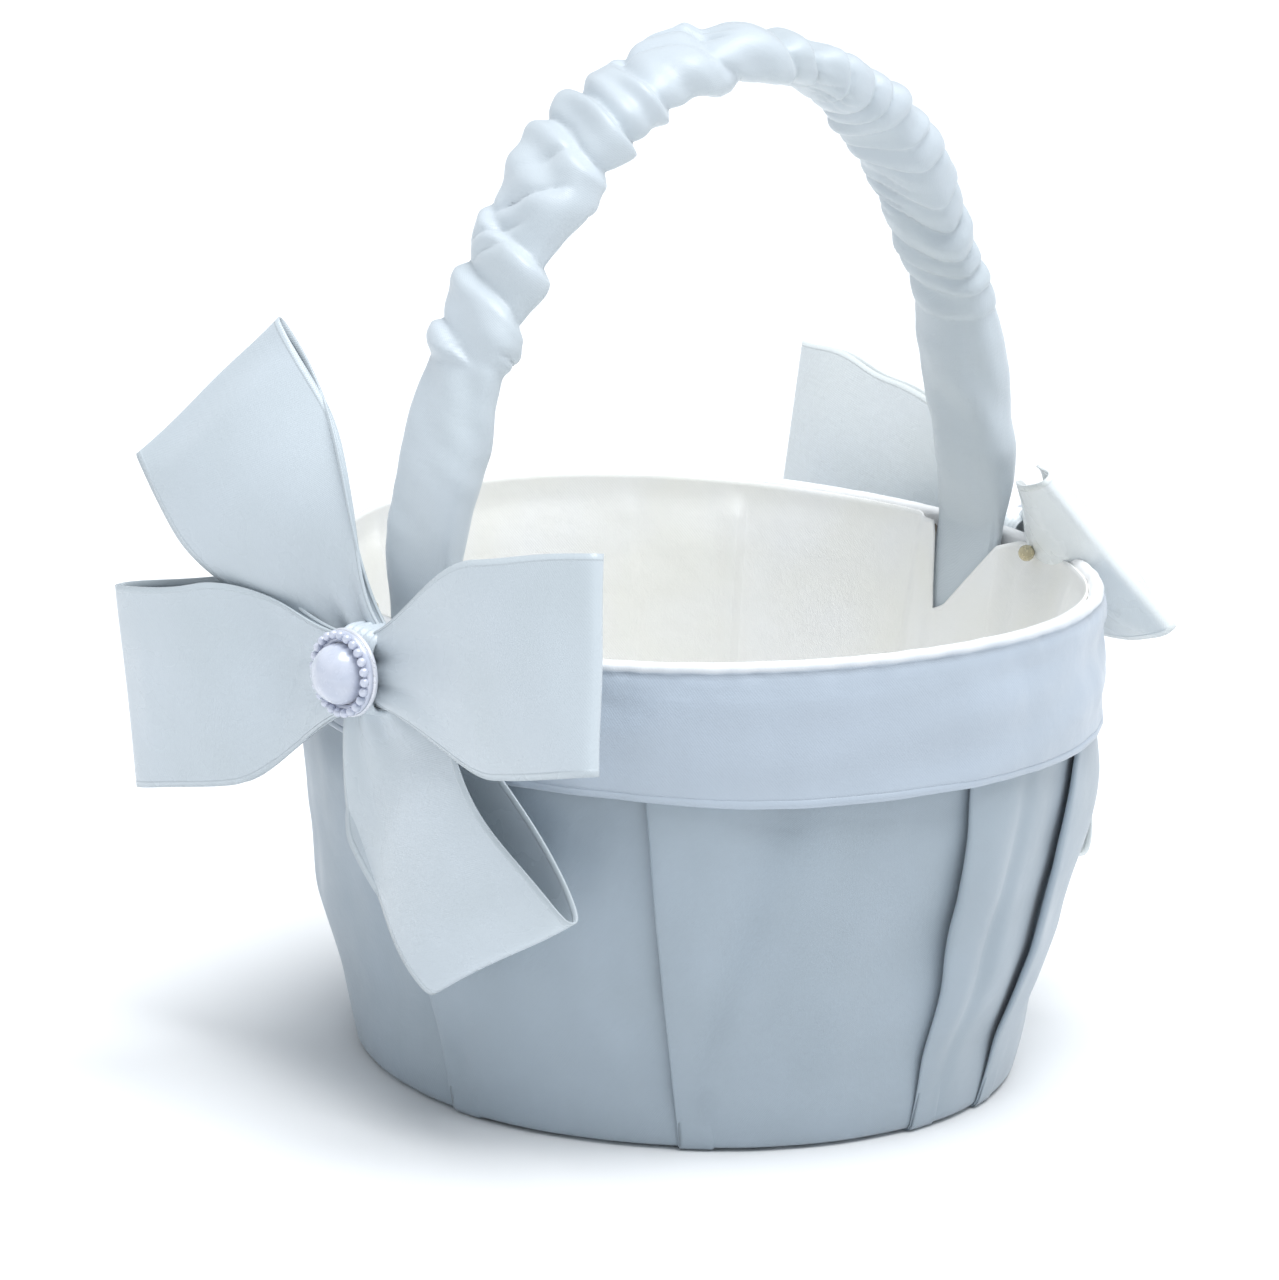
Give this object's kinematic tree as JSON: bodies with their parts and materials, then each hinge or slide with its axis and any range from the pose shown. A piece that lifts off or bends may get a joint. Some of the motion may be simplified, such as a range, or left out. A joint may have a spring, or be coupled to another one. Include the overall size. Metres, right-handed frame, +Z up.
{
  "type": "flower girl basket",
  "caption": "Round satin basket with pleated sides, ribbon cuff, ruched arched handle and double satin bows with pearl brooches at the handle feet.",
  "frame": {"origin": "centre of the basket's underside, on the floor plane", "axes": "+Z up; the handle's arch lies in the XZ plane with its feet and the bows at -X and +X; +Y towards the far side of the basket"},
  "size_m": [0.189, 0.1528, 0.1968],
  "materials": {
    "card": "smooth grey-brown card",
    "wire": "drawn wire",
    "strip": "flat moulded strip",
    "satin_under": "ivory satin, flat",
    "satin_cover": "ivory satin, pleated",
    "satin_cuff": "ivory satin ribbon with a woven edge",
    "satin_lining": "cream satin",
    "satin_floor": "cream satin over wadding",
    "satin_sleeve": "ivory satin, ruched",
    "satin_ribbon": "ivory satin ribbon, high sheen",
    "hot_glue": "translucent amber hot glue",
    "brooch_plate": "silvery plate",
    "brooch_beads": "silvery pearl beads",
    "pearl": "lilac-white pearl lustre"
  },
  "bodies": {
    "root": {"base_board": "card", "wall_board": "card", "rim_wire": "wire", "base_cover": "satin_under", "outer_cover": "satin_cover", "cuff_band": "satin_cuff", "lining": "satin_lining", "floor_pad": "satin_floor", "handle_core": "strip", "handle_sleeve": "satin_sleeve", "glue_dab_left": "hot_glue", "glue_dab_right": "hot_glue", "bow_left_ribbon_a": "satin_ribbon", "bow_left_ribbon_b": "satin_ribbon", "bow_left_knot": "satin_ribbon", "bow_left_brooch_plate": "brooch_plate", "bow_left_brooch_bezel": "brooch_beads", "bow_left_brooch_pearl": "pearl", "bow_right_ribbon_a": "satin_ribbon", "bow_right_ribbon_b": "satin_ribbon", "bow_right_knot": "satin_ribbon", "bow_right_brooch_plate": "brooch_plate", "bow_right_brooch_bezel": "brooch_beads", "bow_right_brooch_pearl": "pearl"}
  },
  "joints": []
}
